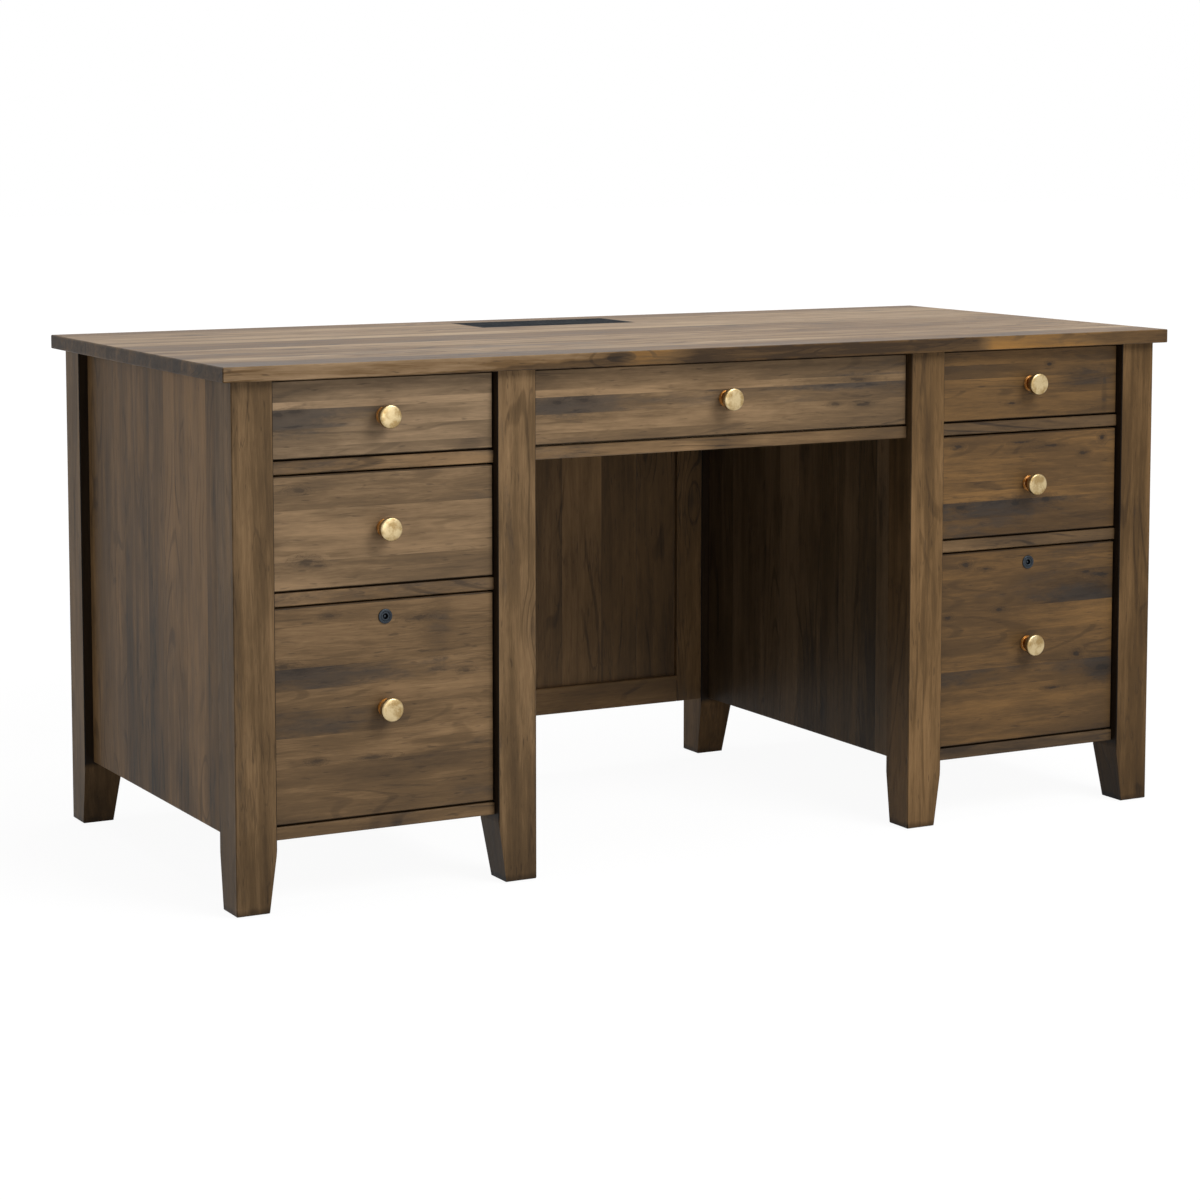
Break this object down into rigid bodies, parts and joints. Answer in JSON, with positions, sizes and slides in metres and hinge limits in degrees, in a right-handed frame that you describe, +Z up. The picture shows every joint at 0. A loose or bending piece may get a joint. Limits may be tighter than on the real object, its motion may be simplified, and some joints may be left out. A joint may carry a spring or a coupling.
{
  "type": "executive desk",
  "caption": "Executive pedestal desk in weathered brown wood, with shallow, middle and locking file drawers on slides, round brass knobs and a lidded cable well.",
  "frame": {"origin": "on the floor under the middle of the desktop", "axes": "+X to the right of someone facing the drawers, +Y to the back of the desk, +Z up"},
  "size_m": [1.606, 0.725, 0.762],
  "materials": {
    "top_wood": "satin lacquer over weathered brown boards",
    "leg_wood": "satin lacquer, vertical grain",
    "panel_wood": "satin lacquer, vertical staves",
    "front_wood": "satin lacquer, horizontal grain with dark streaks",
    "rail_wood": "satin lacquer, horizontal grain",
    "box_wood": "clear lacquer over pale drawer boards",
    "batten_wood": "bare inner wood",
    "slide_steel": "zinc plated",
    "knob_brass": "brushed brass",
    "lock_metal": "charcoal, satin",
    "well_black": "black, fine texture",
    "lid_slate": "slate powder coat",
    "glide_nylon": "dark nylon",
    "screw_steel": "zinc plated"
  },
  "bodies": {
    "carcass": {"battens": "batten_wood", "centre_rail": "rail_wood", "desktop": "top_wood", "leg_glides": "glide_nylon", "leg_left_inner_front": "leg_wood", "leg_left_inner_rear": "leg_wood", "leg_left_outer_front": "leg_wood", "leg_left_outer_rear": "leg_wood", "leg_right_inner_front": "leg_wood", "leg_right_inner_rear": "leg_wood", "leg_right_outer_front": "leg_wood", "leg_right_outer_rear": "leg_wood", "modesty_frame": "panel_wood", "modesty_panel": "panel_wood", "pedestal_backs": "panel_wood", "pedestal_floors": "batten_wood", "pedestal_rails": "rail_wood", "side_panel_left_inner": "panel_wood", "side_panel_left_outer": "panel_wood", "side_panel_right_inner": "panel_wood", "side_panel_right_outer": "panel_wood", "slide_channels": "slide_steel", "socket_block": "well_black", "top_screws": "screw_steel", "well_tray": "well_black"},
    "drawer_left_top": {"front_left_top": "front_wood", "knob_left_top": "knob_brass", "box_left_top": "box_wood", "runner_left_top": "slide_steel"},
    "drawer_left_middle": {"front_left_middle": "front_wood", "knob_left_middle": "knob_brass", "box_left_middle": "box_wood", "runner_left_middle": "slide_steel"},
    "drawer_left_file": {"front_left_file": "front_wood", "knob_left_file": "knob_brass", "box_left_file": "box_wood", "runner_left_file": "slide_steel", "lock_barrel_left": "lock_metal"},
    "drawer_centre": {"front_centre": "front_wood", "knob_centre": "knob_brass", "box_centre": "box_wood", "runner_centre": "slide_steel"},
    "drawer_right_top": {"front_right_top": "front_wood", "knob_right_top": "knob_brass", "box_right_top": "box_wood", "runner_right_top": "slide_steel"},
    "drawer_right_middle": {"front_right_middle": "front_wood", "knob_right_middle": "knob_brass", "box_right_middle": "box_wood", "runner_right_middle": "slide_steel"},
    "drawer_right_file": {"front_right_file": "front_wood", "knob_right_file": "knob_brass", "box_right_file": "box_wood", "runner_right_file": "slide_steel", "lock_barrel_right": "lock_metal"},
    "slide_left": {"slide_mid_left": "slide_steel"},
    "lock_left": {"lock_plug_left": "lock_metal"},
    "slide_right": {"slide_mid_right": "slide_steel"},
    "lock_right": {"lock_plug_right": "lock_metal"},
    "lid": {"well_lid": "lid_slate"}
  },
  "joints": [
    {"name": "left_top_drawer", "type": "slide", "parent": "carcass", "child": "drawer_left_top", "axis": [0, -1, 0], "range_m": [0, 0.33]},
    {"name": "left_middle_drawer", "type": "slide", "parent": "carcass", "child": "drawer_left_middle", "axis": [0, -1, 0], "range_m": [0, 0.33]},
    {"name": "left_file_drawer", "type": "slide", "parent": "carcass", "child": "drawer_left_file", "axis": [0, -1, 0], "range_m": [0, 0.48]},
    {"name": "centre_drawer", "type": "slide", "parent": "carcass", "child": "drawer_centre", "axis": [0, -1, 0], "range_m": [0, 0.33]},
    {"name": "right_top_drawer", "type": "slide", "parent": "carcass", "child": "drawer_right_top", "axis": [0, -1, 0], "range_m": [0, 0.33]},
    {"name": "right_middle_drawer", "type": "slide", "parent": "carcass", "child": "drawer_right_middle", "axis": [0, -1, 0], "range_m": [0, 0.33]},
    {"name": "right_file_drawer", "type": "slide", "parent": "carcass", "child": "drawer_right_file", "axis": [0, -1, 0], "range_m": [0, 0.48]},
    {"name": "left_slide", "type": "slide", "parent": "carcass", "child": "slide_left", "axis": [0, -1, 0], "range_m": [0, 0.24]},
    {"name": "left_lock", "type": "hinge", "parent": "drawer_left_file", "child": "lock_left", "pos_m": [-0.55425, -0.335, 0.4015], "axis": [0, 1, 0], "range_deg": [0, 90]},
    {"name": "right_slide", "type": "slide", "parent": "carcass", "child": "slide_right", "axis": [0, -1, 0], "range_m": [0, 0.24]},
    {"name": "right_lock", "type": "hinge", "parent": "drawer_right_file", "child": "lock_right", "pos_m": [0.55425, -0.335, 0.4015], "axis": [0, 1, 0], "range_deg": [0, 90]},
    {"name": "lid_hinge", "type": "hinge", "parent": "carcass", "child": "lid", "pos_m": [0, 0.296, 0.7575], "axis": [-1, 0, 0], "range_deg": [0, 100]}
  ],
  "couplings": [
    {"joint": "left_slide", "follows": "left_file_drawer", "ratio": 0.5},
    {"joint": "right_slide", "follows": "right_file_drawer", "ratio": 0.5}
  ]
}
